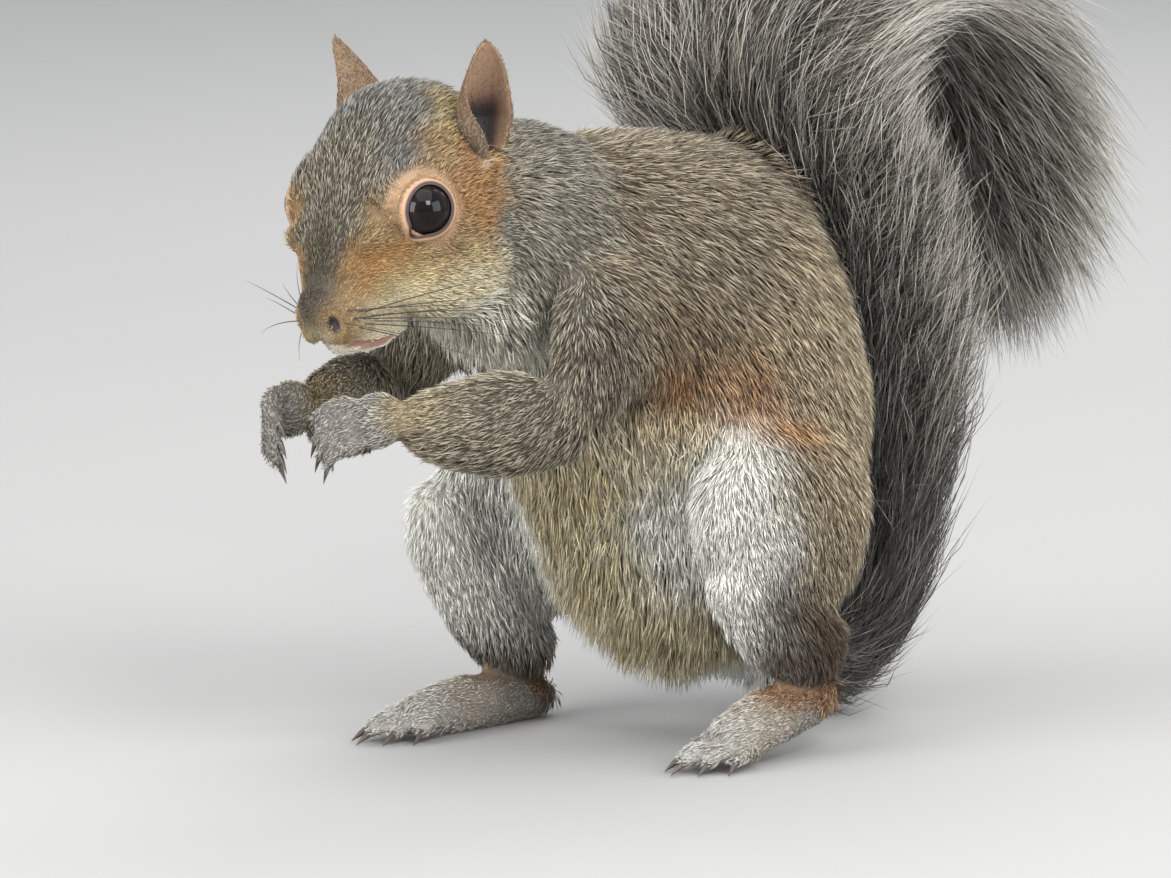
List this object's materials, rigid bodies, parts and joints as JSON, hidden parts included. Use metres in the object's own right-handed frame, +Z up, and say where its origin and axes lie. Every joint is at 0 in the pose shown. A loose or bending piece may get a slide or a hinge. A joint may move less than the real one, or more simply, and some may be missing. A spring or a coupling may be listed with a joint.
{
  "type": "grey squirrel",
  "caption": "Life-size still model of a grey squirrel sitting up with both hands raised to its mouth and its tail curled behind it.",
  "frame": {"origin": "the middle of the model's box, on the floor that the feet and the root of the tail rest on", "axes": "+Z up; the squirrel faces -Y and its left side is +X"},
  "size_m": [0.106, 0.207, 0.173],
  "materials": {
    "coat": "short dense fur, banded black, buff and cream",
    "tail_coat": "long loose hair, dark with white tips",
    "bare_skin": "thinly furred skin",
    "eye": "wet, very glossy",
    "claw": "smooth horn"
  },
  "bodies": {
    "root": {"head": "coat", "eye_left": "eye", "eye_right": "eye", "ear_left": "bare_skin", "ear_right": "bare_skin", "neck": "coat", "trunk": "coat", "upper_arm_left": "coat", "upper_arm_right": "coat", "forearm_left": "coat", "forearm_right": "coat", "hand_left": "bare_skin", "hand_right": "bare_skin", "thigh_left": "coat", "thigh_right": "coat", "shank_left": "coat", "shank_right": "coat", "foot_left": "bare_skin", "foot_right": "bare_skin", "tail_root": "tail_coat", "tail_middle": "tail_coat", "tail_upper": "tail_coat", "tail_crown": "tail_coat", "tail_tip": "tail_coat"}
  },
  "joints": []
}
